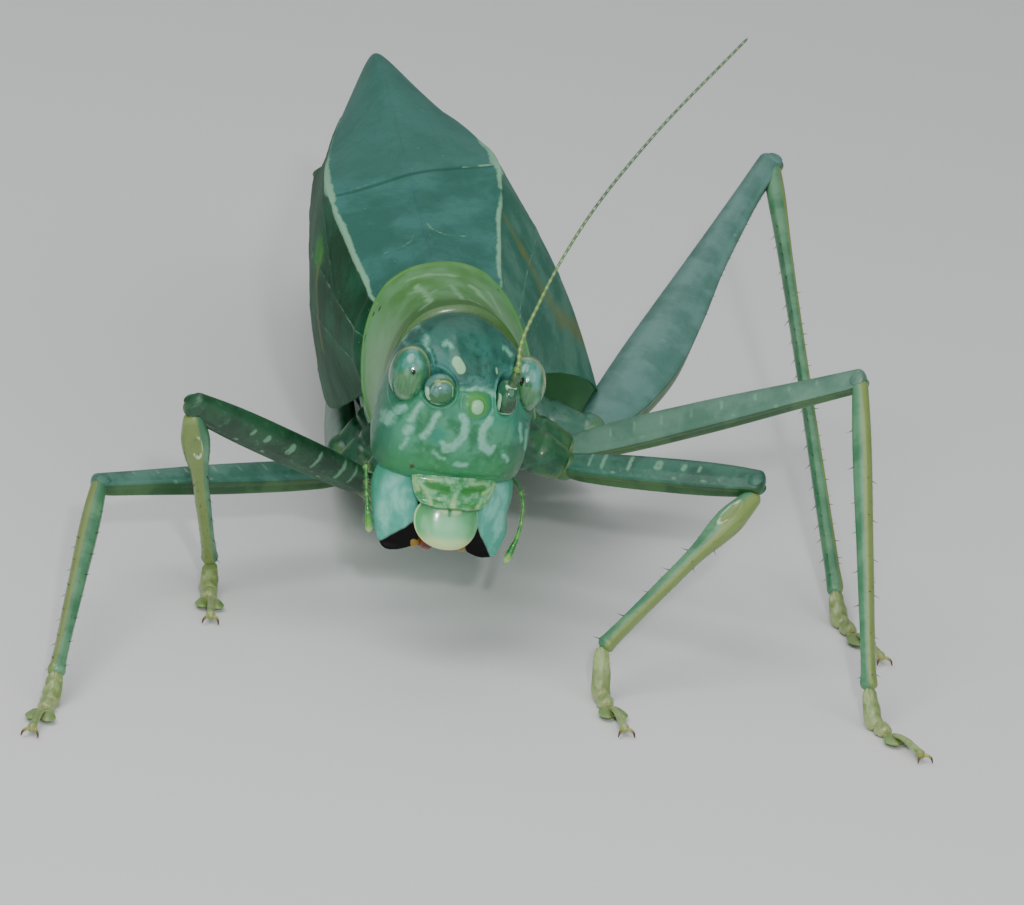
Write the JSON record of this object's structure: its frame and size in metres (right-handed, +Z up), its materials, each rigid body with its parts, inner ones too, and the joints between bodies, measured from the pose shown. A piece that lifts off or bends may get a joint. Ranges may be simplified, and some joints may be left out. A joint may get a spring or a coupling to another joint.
{
  "type": "long-horned grasshopper",
  "caption": "Life-size still model of a green long-horned grasshopper, an angle-wing katydid, standing with folded leaf-like wings and one long feeler raised.",
  "frame": {"origin": "on the floor, under the middle of the whole model's box", "axes": "+Z up, -Y the way the head faces, +X the animal's left side"},
  "size_m": [0.0362, 0.0856, 0.0258],
  "materials": {
    "head": "satin cuticle, mottled",
    "eye": "glossy",
    "face": "satin cuticle",
    "jaw": "satin cuticle, black cutting edge",
    "mouth": "satin",
    "palp": "satin, haired",
    "collar": "translucent satin cuticle",
    "belly": "satin cuticle",
    "wing": "leathery, veined",
    "leg": "satin cuticle, spined",
    "foot": "translucent satin cuticle",
    "feeler": "satin, ringed"
  },
  "bodies": {
    "root": {"head": "head", "eye_l": "eye", "eye_r": "eye", "clypeus": "face", "labrum": "face", "labium": "mouth", "maxilla_l": "mouth", "maxilla_r": "mouth", "mandible_l": "jaw", "mandible_r": "jaw", "palp_l": "palp", "palp_r": "palp", "antenna_l": "feeler", "antenna_r": "feeler", "pronotum": "collar", "thorax": "belly", "abdomen": "belly", "ovipositor": "belly", "cercus_l": "belly", "cercus_r": "belly", "tegmen_l": "wing", "tegmen_r": "wing", "hind_wing_l": "wing", "hind_wing_r": "wing", "coxa_fore_l": "leg", "femur_fore_l": "leg", "tibia_fore_l": "leg", "tarsus_fore_l": "foot", "coxa_mid_l": "leg", "femur_mid_l": "leg", "tibia_mid_l": "leg", "tarsus_mid_l": "foot", "coxa_hind_l": "leg", "femur_hind_l": "leg", "tibia_hind_l": "leg", "tarsus_hind_l": "foot", "coxa_fore_r": "leg", "femur_fore_r": "leg", "tibia_fore_r": "leg", "tarsus_fore_r": "foot", "coxa_mid_r": "leg", "femur_mid_r": "leg", "tibia_mid_r": "leg", "tarsus_mid_r": "foot", "coxa_hind_r": "leg", "femur_hind_r": "leg", "tibia_hind_r": "leg", "tarsus_hind_r": "foot"}
  },
  "joints": []
}
